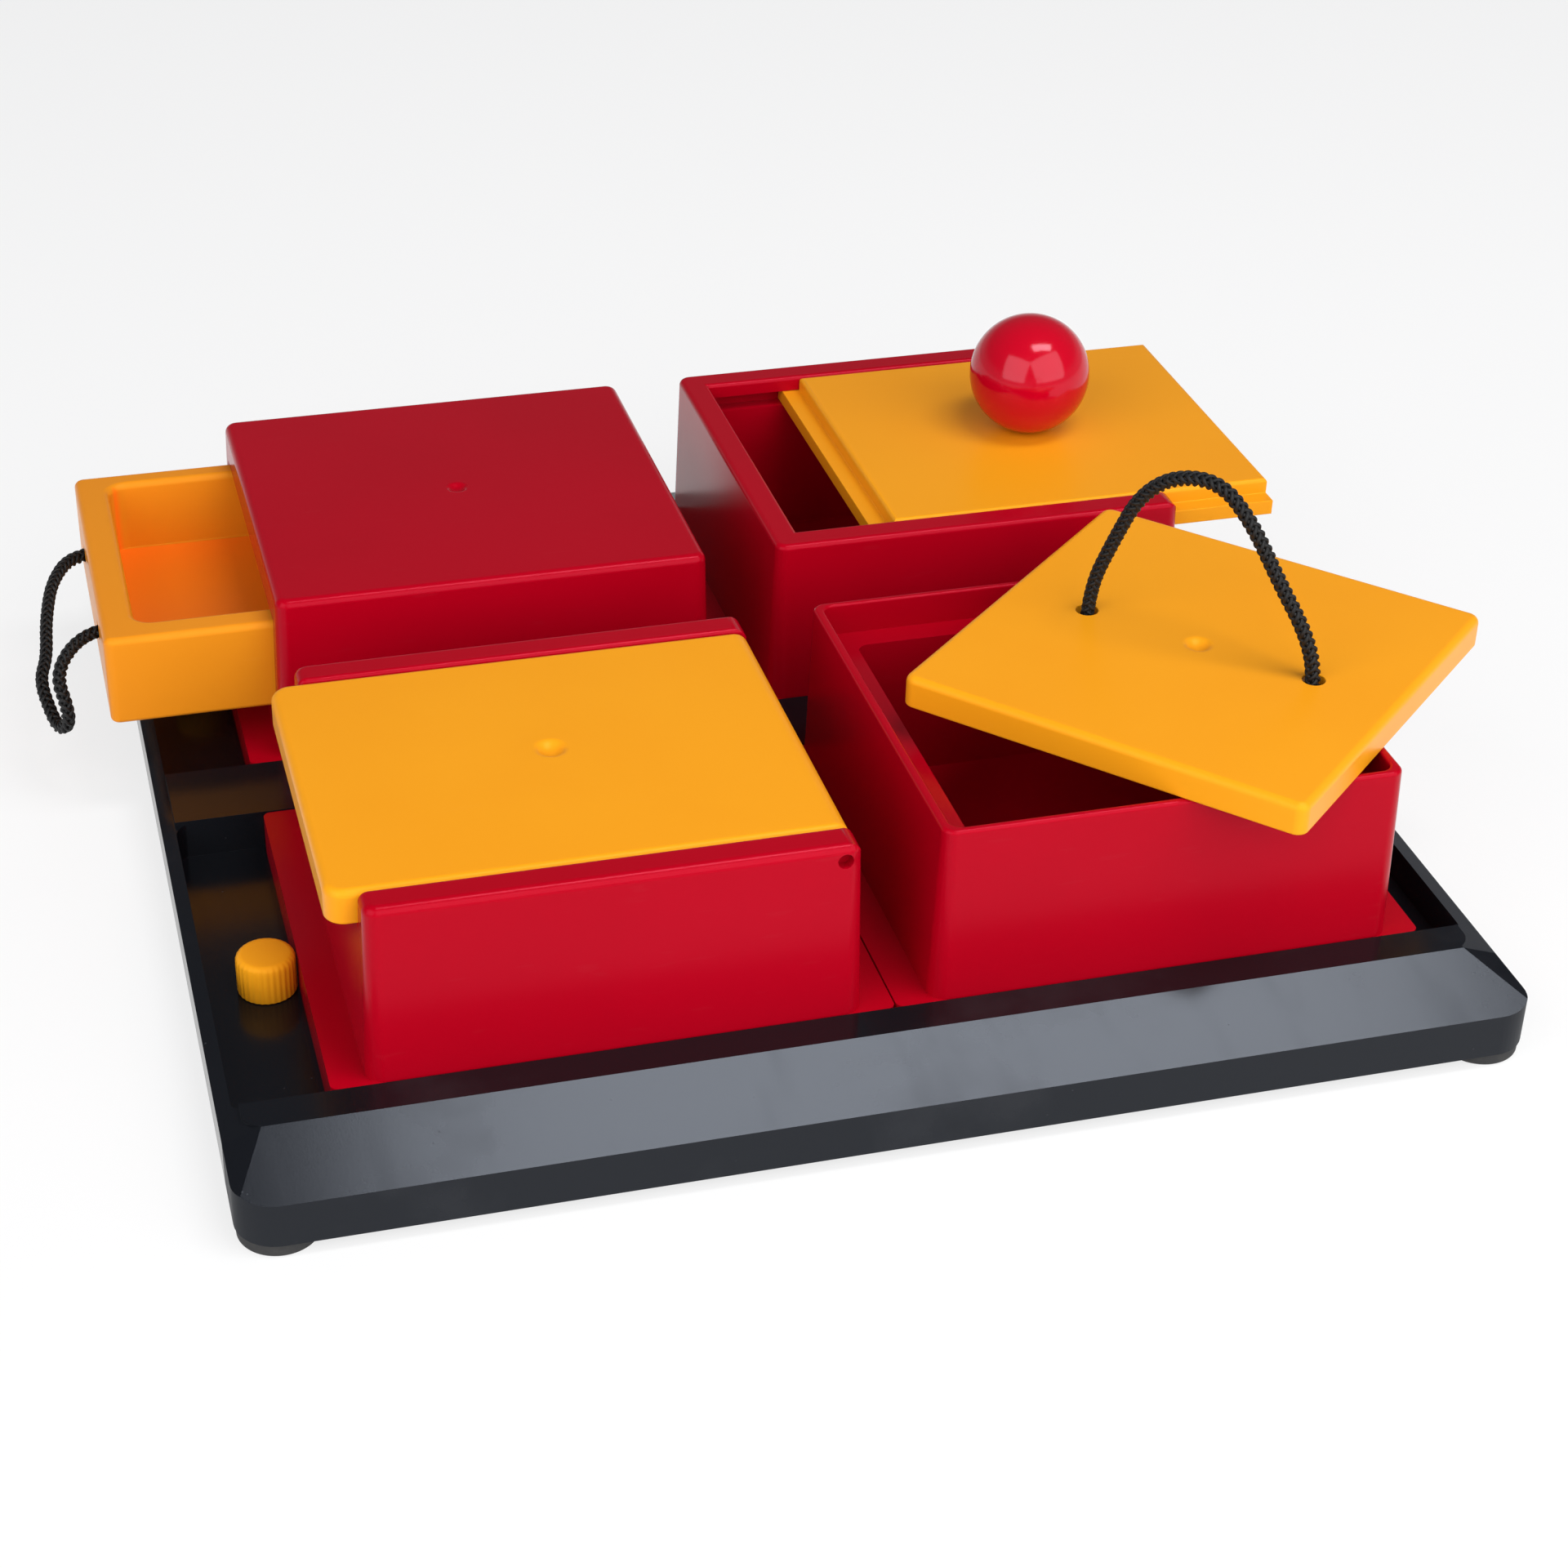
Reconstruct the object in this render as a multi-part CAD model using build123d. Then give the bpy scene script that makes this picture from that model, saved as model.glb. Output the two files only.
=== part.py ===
from build123d import *
import os
from math import atan, cos, degrees, pi, radians, sin, sqrt, tan

# Dog puzzle feeder: a black tray on rubber feet carries four red treat boxes, two by two.
# Front left has a hinged flap, front right a lift-off lid with a rope handle, back left a drawer
# with a rope pull, and back right a sliding lid with a ball knob.
#
# Millimetres, +X right, +Y back, +Z up. The places below are measured from the tray's centre, at
# the height of the tray's lower edge. save() then moves every piece so that the origin is on the
# floor, under the middle of the whole object as it stands: drawer and sliding lid part open, the
# lift-off lid lying skewed on top of its box.

# ------------------------------------------------------------------ tray
TRAY_SIDE = 310.0
TRAY_CORNER = 10.0
TRAY_SKIN = 2.6
EDGE_TOP = 11.25            # height of the tray's outer edge
CROWN_TOP = 14.4            # height of the bar and the ridge
SLOPE = 24.3                # width of the sloping ledges at the front and the back
SIDE_SLOPE = 9.0            # and at the two sides
POCKET_FLOOR = 3.5          # top of the floor that the boxes stand on
FLOOR_SKIN = 2.5
POCKET_X = (-151.5, 150.5)
FRONT_POCKET_Y = (-121.5, -2.5)
BACK_POCKET_Y = (21.3, 141.0)
POCKET_CORNER = 3.0
BAR_INSET = 1.6             # from a pocket's side to the bar's rounded end
BAR_CORNER = 6.0
FOOT_OFFSET = 145.0
FOOT_D = 19.0
FOOT_DROP = 3.5
FOOT_STEM_D = 5.0
FOOT_STEM = 4.5
FOOT_EDGE = 0.8
BOSS_D = 14.0
BOSS_TOP = 12.0

# ------------------------------------------------------------------ boxes, all with one outer form
COLUMN_X = (-61.9, 72.2)    # centres of the left and the right column
ROW_Y = (-64.25, 78.45)     # centres of the front and the back row
WALL_X = 117.6              # outer size at the plinth's top
WALL_Y = 113.7
DRAFT = 1.4                 # how far each wall leans in by the top
BOX_TOP = 60.6
PLINTH_TOP = 14.1
PLINTH_LEFT = 8.3           # how far the plinth stands out
PLINTH_RIGHT = 7.8
PLINTH_BACK = 4.7
BOX_CORNER = 2.0
WALL_CORNER = 4.6           # at the plinth, less towards the top
BOX_SKIN = 2.6
RIM = 8.6                   # thickness of a double wall at the top
WELL_FLOOR = 12.0
WELL_CORNER = 3.0
LEAN = DRAFT / (BOX_TOP - PLINTH_TOP)   # of each wall, per millimetre of height
OUTER_EDGE = 2.4            # rounding of the outer top edge of the flap and the drawer box
EDGE = 1.3                  # usual rounding of a moulded edge
PAST = 5.0                  # how far a cutting form runs past the face it starts from
HALF_X = WALL_X / 2 - DRAFT     # half the outer size at the top
HALF_Y = WALL_Y / 2 - DRAFT

# ------------------------------------------------------------------ flap box, front left
FLAP_SEAT = 51.3            # top of its lowered side walls
FLAP_PIN_X = -8.7
FLAP_PIN_Z = 56.6
FLAP_PIN_D = 3.8
PIN_BOSS_D = 9.0
PIN_SUNK = 2.5              # how far each end of the pin lies inside its hole
FLAP_LEFT = -126.5
FLAP_BOTTOM = 51.5
FLAP_TOP = 60.4
FLAP_NOSE = 3.8             # radius of the lid's end above the pin
FLAP_HEEL = 5.1             # radius of the lid's end below the pin
SIDE_GAP = 0.2              # play on each side of the flap
BORE_GAP = 0.08             # radial play of the lid on its pin
FLAP_CORNER = 5.0
HINGE_ROOM = 6.0            # solid part of the lid beside the pin
FLAP_DISH_AT = (-65.0, -62.0)
PIN_CORNER = 4.0            # rounding of the box wall above the pin

# ------------------------------------------------------------------ lift box, front right
REBATE = (110.0, 106.8)     # size of the recess that takes the closed lid
REBATE_Z = 51.9
LIFT_WELL = (95.0, 92.8)
LIFT_OUTER_EDGE = 1.1       # roundings of this box's thin rim
LIFT_INNER_EDGE = 0.75
LIFT_LID = (109.2, 106.0)
LIFT_LID_THICK = 8.4
LIFT_LID_AT = (98.1, -65.1)
LIFT_LID_TURN = 42.4
LIFT_LID_BOTTOM = BOX_TOP + 0.1
LIFT_LID_CORNER = 3.0
ROPE_HOLE_OFFSET = 30.8     # from the lid's centre, along its own Y

# ------------------------------------------------------------------ drawer box, back left
SHELF_Z = 25.5
CEILING_Z = 51.6
ROOF_SKIN = 2.6
ROOF_EDGE = 9.0             # width of the full-depth edge over the drawer's mouth
SHELF_RIBS = 5
ROOF_DISH_Y = -1.0          # from the middle of the roof
DRAWER_LENGTH = 104.0
DRAWER_GAP = 0.3            # play on each side of the drawer
DRAWER_WIDTH = 96.0
DRAWER_BOTTOM = 25.8
DRAWER_TOP = 51.0
DRAWER_LEFT = -163.4        # its face, pulled part way out
DRAWER_WALLS = (8.9, 8.6, 8.7, 7.0)     # left, right, front, back
DRAWER_FLOOR = 30.8
DRAWER_CORNER = 2.5
DRAWER_EDGE = 1.9           # rounding of its top edges
CAVITY_CORNER = 5.0
FACE_SKIN = 2.0             # of its left wall, whose hollow takes the knots
KNOT_GAP = 0.1              # beside a knot in that hollow
KNOT_EDGE = 1.9
DRAWER_HOLE_Z = 39.9
DRAWER_HOLE_Y = (57.0, 101.0)

# ------------------------------------------------------------------ slide box, back right
SLIDE_OUTER_EDGE = 1.6      # rounding of its outer top edge
LIP_X = 22.3                # inner face of the left lip
LIP_HALF = 47.3             # half the space between the front and the back lip
LIP_BOTTOM = 56.3
GROOVE_BOTTOM = 51.7
GROOVE_DEPTH = 5.0
SLIDE_LEFT = 50.0
SLIDE_RIGHT = 159.2
SLIDE_PLATE = (56.1, 60.4)
SLIDE_TONGUE = 51.9         # underside of the tongue
SLIDE_PLAY = 0.3            # play beside the plate and the tongue
BALL_D = 34.0
BALL_AT = (104.4, 78.7, 77.1)
SCREW_D = 4.0
SCREW_HEAD_D = 8.0
SCREW_HEAD = 2.6
SCREW_BITE = 12.0           # how deep the screw goes into the ball
SCREW_SUNK = 0.5            # how far its head lies above the lid's underside
SCREW_PLAY = 0.1
SCREW_TIP = 0.5             # space between its tip and the end of the ball's hole
BALL_BOSS_D = 16.0          # solid part of the lid around the screw

# ------------------------------------------------------------------ lids
LID_SKIN = 2.9
LID_WALL = 3.2
RIB = 2.0
LID_EDGE = 2.0              # rounding of the flap's and the lift-off lid's top edge
DISHES = {"flap": (9.2, 1.9), "lift": (8.4, 1.7), "roof": (6.6, 1.2)}   # width and depth
DISH_BOWL = 0.62            # the bowl's share of a dish's two radii

# ------------------------------------------------------------------ lock knobs
LOCK_X = -136.5
LOCK_D = 14.6
LOCK_TOP = 14.3
LOCK_EDGE = 1.4
LOCK_GROOVES = 30
LOCK_GROOVE_R = 0.4
LOCK_STEM_D = 6.0
LOCK_BAR = (12.0, 4.6, 1.6)
LOCK_PLAY = 0.1
LOCK_SLOT_PLAY = 0.2        # around the crossbar when it is turned in line with its slot

# ------------------------------------------------------------------ ropes
LIFT_ROPE_D = 4.3
DRAWER_ROPE_D = 4.2
ROPE_PLAY = 0.7             # radial play of a rope in its hole
ARC_SHARE = 0.45            # how much of a run the arc at one of its ends may take
KNOT_R = 4.3
# Routes from knot to knot. The lift rope's is (distance along the line through its holes, height).
LIFT_ROUTE = [
    (-30.8, 62.0), (-30.8, 75.0), (-25.2, 90.5), (-19.5, 104.5), (-10.5, 112.5), (1.5, 114.0),
    (10.5, 105.5), (18.5, 93.0), (27.5, 80.5), (30.9, 70.5), (30.8, 62.0),
]
DRAWER_ROUTE = [
    (-158.2, 101.0, 39.8), (-166.5, 101.0, 40.2), (-173.3, 90.0, 38.6), (-176.4, 77.0, 33.8),
    (-177.5, 66.0, 28.0), (-180.1, 59.0, 25.5), (-178.5, 52.3, 19.8), (-176.8, 47.5, 16.8),
    (-174.5, 43.0, 19.5), (-173.8, 41.8, 24.9), (-176.2, 46.8, 34.8), (-166.5, 57.0, 40.4),
    (-158.2, 57.0, 39.8),
]

# ------------------------------------------------------------------ origin
_long, _wide = [side / 2 - LIFT_LID_CORNER for side in LIFT_LID]
_turn = radians(LIFT_LID_TURN)
LIFT_LID_REACH = _long * cos(_turn) + _wide * sin(_turn) + LIFT_LID_CORNER
MIDDLE_X = (DRAWER_LEFT + LIFT_LID_AT[0] + LIFT_LID_REACH) / 2


# ------------------------------------------------------------------ helpers
def block(x, y, z):
    """A block between three pairs of limits."""
    size = [high - low for low, high in (x, y, z)]
    middle = [(high + low) / 2 for low, high in (x, y, z)]
    return Pos(*middle) * Box(*size)


def rounded(x, y, z, corner):
    """A block whose upright edges are rounded."""
    outline = RectangleRounded(x[1] - x[0], y[1] - y[0], corner)
    return Pos((x[0] + x[1]) / 2, (y[0] + y[1]) / 2, z[0]) * extrude(outline, z[1] - z[0])


def leaning(middle, size, corner, bottom, top):
    """An upright form whose four walls lean in by the boxes' draft."""
    outline = RectangleRounded(*size, corner)
    form = extrude(outline, top - bottom, taper=degrees(atan(LEAN)))
    return Pos(middle[0], middle[1], bottom) * form


def grown(limits, by):
    """Limits along one or more axes, spread by the same amount on every side."""
    return [(low - by, high + by) for low, high in limits]


def span(middle, half):
    return (middle - half, middle + half)


def level_edges(part, height, tolerance=0.02):
    """The edges that lie flat at one height."""
    return part.edges().filter_by(
        lambda e: abs(e.bounding_box().min.Z - height) < tolerance
        and abs(e.bounding_box().max.Z - height) < tolerance
    )


def rod(start, direction, length, diameter):
    """A round rod from a point, along an axis."""
    plane = Plane(origin=start, z_dir=direction)
    return extrude(plane * Circle(diameter / 2), length)


def dish(at, width, depth):
    """The form that cuts a round dish into a top face: a bowl that runs out into a soft rim."""
    slant = 2 * atan(2 * depth / width)         # where the bowl and the rim meet
    both = width / 2 / sin(slant)               # radius of the bowl and of the rim together
    bowl = DISH_BOWL * both
    meet = (bowl * sin(slant), bowl * (1 - cos(slant)) - depth)
    with BuildSketch(Plane.XZ) as profile:
        with BuildLine():
            Line((0, PAST), (0, -depth))
            RadiusArc((0, -depth), meet, -bowl)
            RadiusArc(meet, (width / 2, 0), both - bowl)
            Polyline((width / 2, 0), (width / 2, PAST), (0, PAST))
        make_face()
    return Pos(*at) * revolve(profile.sketch, Axis.Z)


def ribbed_recess(x, y, z, columns, rows):
    """A recess under a lid, divided by ribs into cells."""
    step_x = (x[1] - x[0] + RIB) / columns
    step_y = (y[1] - y[0] + RIB) / rows
    cells = []
    for i in range(columns):
        for j in range(rows):
            left = x[0] + i * step_x
            front = y[0] + j * step_y
            cells.append(block((left, left + step_x - RIB), (front, front + step_y - RIB), z))
    return cells


def rope(points, diameter, name):
    """A rope's tube: straight runs joined by the largest arcs that the runs allow."""
    corners = [Vector(*p) for p in points]
    room = [ARC_SHARE * (b - a).length for a, b in zip(corners, corners[1:])]
    room[0] *= 2            # the rope's two end runs have only one arc each
    room[-1] *= 2
    radii = []
    for i, (before, at, after) in enumerate(zip(corners, corners[1:], corners[2:])):
        turn = radians((at - before).get_angle(after - at))
        radii.append(min(room[i], room[i + 1]) / tan(turn / 2))
    path = FilletPolyline(*points, radius=radii)
    start = Plane(origin=path @ 0, z_dir=path % 0)
    tube = sweep(start * Circle(diameter / 2), path)
    print(name, "length", round(path.length, 1), "radii", [round(r, 1) for r in radii],
          "volume ratio", round(tube.volume / (path.length * pi * diameter ** 2 / 4), 4))
    return tube


def save(part, name):
    """Write one node, moved to where the object stands."""
    placed = Pos(-MIDDLE_X, 0, FOOT_DROP) * part
    solids = placed.solids()
    shape = solids[0] if len(solids) == 1 else Compound(children=list(solids))
    export_step(shape, f"parts/{name}.step")


# ------------------------------------------------------------------ tray and its feet
def sloped_plate(inset, below, corner):
    """The tray's outer form, or the hollow one skin inside it: a plate with four sloping edges."""
    side = TRAY_SIDE - 2 * inset
    top = CROWN_TOP - inset
    plate = Pos(0, 0, -below) * extrude(RectangleRounded(side, side, corner), top + below)
    edge = TRAY_SIDE / 2
    for turn, width in ((0, SLOPE), (90, SIDE_SLOPE), (180, SLOPE), (270, SIDE_SLOPE)):
        with BuildSketch(Plane.YZ) as section:
            with BuildLine():
                Polyline((-edge, EDGE_TOP - inset), (-edge + width, top), (-edge, top + PAST), close=True)
            make_face()
        wedge = Pos(-edge - PAST, 0, 0) * extrude(section.sketch, TRAY_SIDE + 2 * PAST)
        plate -= Rot(0, 0, turn) * wedge
    return plate


def make_tray():
    plate = sloped_plate(0, 0, TRAY_CORNER)
    above = CROWN_TOP + PAST
    pockets = [
        rounded(POCKET_X, y, (POCKET_FLOOR, above), POCKET_CORNER)
        for y in (FRONT_POCKET_Y, BACK_POCKET_Y)
    ]
    bar_x = (POCKET_X[0] + BAR_INSET, POCKET_X[1] - BAR_INSET)
    bar_z = (POCKET_FLOOR + 1, CROWN_TOP)
    bar = rounded(bar_x, (-TRAY_SIDE / 2 + SLOPE, FRONT_POCKET_Y[0] + BAR_CORNER), bar_z, BAR_CORNER)
    ridge = block(POCKET_X, (FRONT_POCKET_Y[1], BACK_POCKET_Y[0]), bar_z)
    hollow = sloped_plate(TRAY_SKIN, 1, TRAY_CORNER - TRAY_SKIN)
    for y in (FRONT_POCKET_Y, BACK_POCKET_Y):
        x, y, _ = grown([POCKET_X, y, (0, 0)], FLOOR_SKIN)
        hollow -= block(x, y, (POCKET_FLOOR - FLOOR_SKIN, above))
    for x, y in foot_places():
        hollow -= Pos(x, y, BOSS_TOP / 2) * Cylinder(BOSS_D / 2, BOSS_TOP)
    tray = plate + bar + ridge
    for pocket in pockets:
        tray -= pocket
    tray -= hollow
    for x, y in foot_places():
        tray -= Pos(x, y, FOOT_STEM / 2) * Cylinder(FOOT_STEM_D / 2, FOOT_STEM)
    length, width, _ = LOCK_BAR
    for y in ROW_Y:
        slot = (length + 2 * LOCK_SLOT_PLAY, width + 2 * LOCK_SLOT_PLAY, 2 * POCKET_FLOOR + 1)
        tray -= Pos(LOCK_X, y, 0) * Box(*slot)
        tray -= Pos(LOCK_X, y, 0) * Cylinder(LOCK_STEM_D / 2 + LOCK_PLAY, 2 * POCKET_FLOOR + 1)
    return tray


def foot_places():
    return [(x * FOOT_OFFSET, y * FOOT_OFFSET) for y in (-1, 1) for x in (-1, 1)]


def make_foot(x, y):
    pad = Pos(x, y, -FOOT_DROP / 2) * Cylinder(FOOT_D / 2, FOOT_DROP)
    pad = fillet(level_edges(pad, -FOOT_DROP), FOOT_EDGE)
    return pad + Pos(x, y, FOOT_STEM / 2) * Cylinder(FOOT_STEM_D / 2, FOOT_STEM)


# ------------------------------------------------------------------ boxes
def box_form(cx, cy, edge=OUTER_EDGE):
    """The outer form that all four boxes share: leaning walls on a wider plinth."""
    walls = leaning((cx, cy), (WALL_X, WALL_Y), WALL_CORNER, PLINTH_TOP, BOX_TOP)
    x = (cx - WALL_X / 2 - PLINTH_LEFT, cx + WALL_X / 2 + PLINTH_RIGHT)
    y = (cy - WALL_Y / 2, cy + WALL_Y / 2 + PLINTH_BACK)
    plinth = rounded(x, y, (POCKET_FLOOR, PLINTH_TOP), BOX_CORNER)
    return fillet(level_edges(walls, BOX_TOP), edge) + plinth


def box_core(cx, cy, voids):
    """The space inside a box's double walls, open at the bottom, one skin away from every face."""
    size = (WALL_X - 2 * BOX_SKIN, WALL_Y - 2 * BOX_SKIN)
    core = leaning((cx, cy), size, BOX_CORNER, PLINTH_TOP - BOX_SKIN, BOX_TOP - BOX_SKIN)
    x = (cx - WALL_X / 2 - PLINTH_LEFT + BOX_SKIN, cx + WALL_X / 2 + PLINTH_RIGHT - BOX_SKIN)
    y = (cy - WALL_Y / 2 + BOX_SKIN, cy + WALL_Y / 2 + PLINTH_BACK - BOX_SKIN)
    core += block(x, y, (POCKET_FLOOR - 1, PLINTH_TOP - BOX_SKIN))
    for limits in voids:
        core -= block(*grown(limits, BOX_SKIN))
    return core


def soften(part, limits, radius=EDGE):
    """Round the top edges that an opening with these limits has left sharp."""
    x, y, _ = grown(limits, 0.05)
    inside = level_edges(part, BOX_TOP).filter_by(
        lambda e: x[0] < e.center().X < x[1] and y[0] < e.center().Y < y[1]
    )
    return fillet(inside, radius)


def end_cutter(x, cy, radius):
    """What rounds the upper right end of a wall whose top reaches this x."""
    middle = x + LEAN * radius - radius
    corner = block((middle, x + PAST), span(cy, HALF_Y + PAST), (BOX_TOP - radius, BOX_TOP + PAST))
    centre = (middle, cy - HALF_Y - PAST, BOX_TOP - radius)
    return corner - rod(centre, (0, 1, 0), 2 * (HALF_Y + PAST), 2 * radius)


def make_flap_box():
    cx, cy = COLUMN_X[0], ROW_Y[0]
    inner_y = span(cy, HALF_Y - RIM)
    well = (span(cx, HALF_X - RIM), inner_y, (WELL_FLOOR, FLAP_SEAT))
    seat = (span(cx, HALF_X + PAST), inner_y, (FLAP_SEAT, BOX_TOP + PAST))
    core = box_core(cx, cy, [well, seat])
    pin_line = ((FLAP_PIN_X, cy - HALF_Y - PAST, FLAP_PIN_Z), (0, 1, 0), 2 * (HALF_Y + PAST))
    box = box_form(cx, cy) - rounded(*well, WELL_CORNER) - block(*seat)
    box = soften(box, seat)
    box -= end_cutter(cx + HALF_X, cy, PIN_CORNER)
    box -= core - rod(*pin_line, PIN_BOSS_D)
    return box - rod(*pin_line, FLAP_PIN_D)


def make_lift_box():
    cx, cy = COLUMN_X[1], ROW_Y[0]
    rebate = (span(cx, REBATE[0] / 2), span(cy, REBATE[1] / 2), (REBATE_Z, BOX_TOP + PAST))
    well = (span(cx, LIFT_WELL[0] / 2), span(cy, LIFT_WELL[1] / 2), (WELL_FLOOR, REBATE_Z))
    box = box_form(cx, cy, LIFT_OUTER_EDGE)
    box -= rounded(*rebate, WELL_CORNER) + rounded(*well, WELL_CORNER)
    box = soften(box, rebate, LIFT_INNER_EDGE)
    return box - box_core(cx, cy, [rebate, well])


def make_drawer_box():
    cx, cy = COLUMN_X[0], ROW_Y[1]
    tunnel = (
        (cx - HALF_X - PLINTH_LEFT - PAST, cx + HALF_X - RIM),
        span(cy, DRAWER_WIDTH / 2 + DRAWER_GAP),
        (SHELF_Z, CEILING_Z),
    )
    relief = (
        (cx - HALF_X + ROOF_EDGE, cx + HALF_X - RIM),
        (tunnel[1][0] + RIB, tunnel[1][1] - RIB),
        (CEILING_Z, BOX_TOP - ROOF_SKIN),
    )
    box = box_form(cx, cy) - block(*tunnel)
    for cell in ribbed_recess(*relief, columns=3, rows=3):
        box -= cell
    core = box_core(cx, cy, [tunnel, relief])
    step = 2 * HALF_X / (SHELF_RIBS + 1)
    for i in range(SHELF_RIBS):
        middle = cx - HALF_X + (i + 1) * step
        core -= block(span(middle, RIB / 2), span(cy, HALF_Y), (POCKET_FLOOR + 1, SHELF_Z))
    box -= core
    return box - dish((cx, cy + ROOF_DISH_Y, BOX_TOP), *DISHES["roof"])


def make_slide_box():
    cx, cy = COLUMN_X[1], ROW_Y[1]
    past_end = cx + HALF_X + PAST
    channel = ((LIP_X, past_end), span(cy, LIP_HALF), (GROOVE_BOTTOM, BOX_TOP + PAST))
    groove = (
        (LIP_X - GROOVE_DEPTH, past_end),
        span(cy, LIP_HALF + GROOVE_DEPTH),
        (GROOVE_BOTTOM, LIP_BOTTOM),
    )
    well = ((LIP_X, cx + HALF_X - RIM), span(cy, LIP_HALF), (WELL_FLOOR, GROOVE_BOTTOM))
    box = box_form(cx, cy, SLIDE_OUTER_EDGE) - block(*channel) - rounded(*well, WELL_CORNER)
    box = soften(box, channel)
    box -= end_cutter(cx + HALF_X, cy, PIN_CORNER)
    box -= block(*groove)
    return box - box_core(cx, cy, [channel, groove, well])


# ------------------------------------------------------------------ flap lid and its pin
def make_flap_lid():
    cy = ROW_Y[0]
    half = HALF_Y - RIM - SIDE_GAP
    nose = FLAP_PIN_X + FLAP_NOSE
    heel_z = FLAP_PIN_Z - sqrt(FLAP_HEEL ** 2 - FLAP_NOSE ** 2)
    with BuildSketch(Plane.XZ) as profile:
        with BuildLine():
            Polyline((FLAP_PIN_X, FLAP_TOP), (FLAP_LEFT, FLAP_TOP), (FLAP_LEFT, FLAP_BOTTOM),
                     (FLAP_PIN_X, FLAP_BOTTOM))
            RadiusArc((FLAP_PIN_X, FLAP_BOTTOM), (nose, heel_z), -FLAP_HEEL)
            Line((nose, heel_z), (nose, FLAP_PIN_Z))
            RadiusArc((nose, FLAP_PIN_Z), (FLAP_PIN_X, FLAP_TOP), -FLAP_NOSE)
        make_face()
    lid = Pos(0, cy + half, 0) * extrude(profile.sketch, 2 * half)
    upright = lid.edges().filter_by(Axis.Z).filter_by(lambda e: abs(e.center().X - FLAP_LEFT) < 0.1)
    lid = fillet(upright, FLAP_CORNER)
    lid = fillet(
        level_edges(lid, FLAP_TOP).filter_by(lambda e: e.center().X < FLAP_PIN_X - 0.1), LID_EDGE
    )
    lid = fillet(
        level_edges(lid, FLAP_BOTTOM).filter_by(lambda e: e.center().X < FLAP_PIN_X - 0.1), EDGE / 2
    )
    recess = (
        (FLAP_LEFT + LID_WALL, FLAP_PIN_X - HINGE_ROOM),
        span(cy, half - LID_WALL),
        (FLAP_BOTTOM - 1, FLAP_TOP - LID_SKIN),
    )
    for cell in ribbed_recess(*recess, columns=4, rows=3):
        lid -= cell
    start = (FLAP_PIN_X, cy - half - PAST, FLAP_PIN_Z)
    lid -= rod(start, (0, 1, 0), 2 * (half + PAST), FLAP_PIN_D + 2 * BORE_GAP)
    return lid - dish((*FLAP_DISH_AT, FLAP_TOP), *DISHES["flap"])


def make_hinge_pin():
    length = 2 * (HALF_Y - PIN_SUNK)
    return rod((FLAP_PIN_X, ROW_Y[0] - length / 2, FLAP_PIN_Z), (0, 1, 0), length, FLAP_PIN_D)


# ------------------------------------------------------------------ lift-off lid and its rope
def lift_place():
    return Pos(*LIFT_LID_AT, LIFT_LID_BOTTOM) * Rot(0, 0, LIFT_LID_TURN)


def make_lift_lid():
    half_x, half_y = LIFT_LID[0] / 2, LIFT_LID[1] / 2
    lid = rounded(span(0, half_x), span(0, half_y), (0, LIFT_LID_THICK), LIFT_LID_CORNER)
    lid = fillet(level_edges(lid, LIFT_LID_THICK), LID_EDGE)
    lid = fillet(level_edges(lid, 0), EDGE / 2)
    recess = (
        span(0, half_x - LID_WALL),
        span(0, half_y - LID_WALL),
        (-1, LIFT_LID_THICK - LID_SKIN),
    )
    for cell in ribbed_recess(*recess, columns=3, rows=3):
        lid -= cell
    for y in (-ROPE_HOLE_OFFSET, ROPE_HOLE_OFFSET):
        lid -= Pos(0, y, 0) * Cylinder(LIFT_ROPE_D / 2 + ROPE_PLAY, 3 * LIFT_LID_THICK)
    lid -= dish((0, 0, LIFT_LID_THICK), *DISHES["lift"])
    return lift_place() * lid


def lift_route():
    """The lift rope's route in space: along the lid's own Y, front to back reversed."""
    along = (sin(radians(LIFT_LID_TURN)), -cos(radians(LIFT_LID_TURN)))
    return [
        (LIFT_LID_AT[0] + u * along[0], LIFT_LID_AT[1] + u * along[1], z) for u, z in LIFT_ROUTE
    ]


def lift_knot(end):
    """A round knot whose middle is the rope's end."""
    return Pos(*end) * Sphere(KNOT_R) - rod(end, (0, 0, 1), KNOT_R, LIFT_ROPE_D)


# ------------------------------------------------------------------ drawer
def knot_room():
    """The hollow in the drawer's left wall, from left to right."""
    return (DRAWER_LEFT + FACE_SKIN, DRAWER_LEFT + DRAWER_WALLS[0] - FACE_SKIN)


def drawer_knot(end):
    """A knot pressed flat between the two skins of the drawer's left wall."""
    left, right = grown([knot_room()], -KNOT_GAP)[0]
    cushion = rod((left, *end[1:]), (1, 0, 0), right - left, 2 * KNOT_R)
    cushion = fillet(cushion.edges().filter_by(GeomType.CIRCLE), KNOT_EDGE)
    return cushion - rod(end, (-1, 0, 0), KNOT_R, DRAWER_ROPE_D)


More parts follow.
